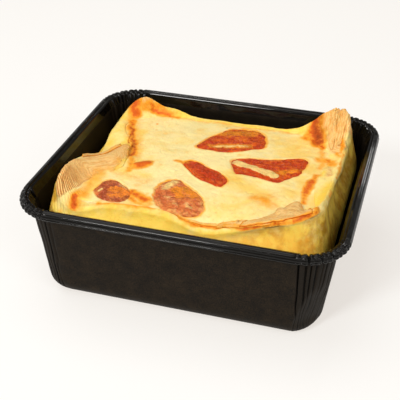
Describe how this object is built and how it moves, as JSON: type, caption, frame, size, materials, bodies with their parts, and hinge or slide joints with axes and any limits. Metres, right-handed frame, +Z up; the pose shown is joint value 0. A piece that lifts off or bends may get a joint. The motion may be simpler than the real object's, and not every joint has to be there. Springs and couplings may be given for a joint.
{
  "type": "tomato quiche in a baking tray",
  "caption": "Deep rectangular quiche with folded pastry corners and baked tomato pieces, standing in its black pressed-board baking tray.",
  "frame": {"origin": "centre of the tray's underside, on the surface it stands on", "axes": "+X along the tray's long side to the right, -Y to the front, +Z up"},
  "size_m": [0.1248, 0.1108, 0.0537],
  "materials": {
    "tray_board": "black coated board, satin, glossier on the rolled rim",
    "baked_pastry": "baked puff pastry, flaky, browned at the corners",
    "set_custard": "set egg custard with a thin browned skin, moist",
    "baked_tomato": "roasted tomato, moist and wrinkled"
  },
  "bodies": {
    "root": {"tray": "tray_board", "pastry_case": "baked_pastry", "custard": "set_custard", "tomato_back": "baked_tomato", "tomato_right": "baked_tomato", "tomato_middle": "baked_tomato", "tomato_front": "baked_tomato", "tomato_left": "baked_tomato"}
  },
  "joints": []
}
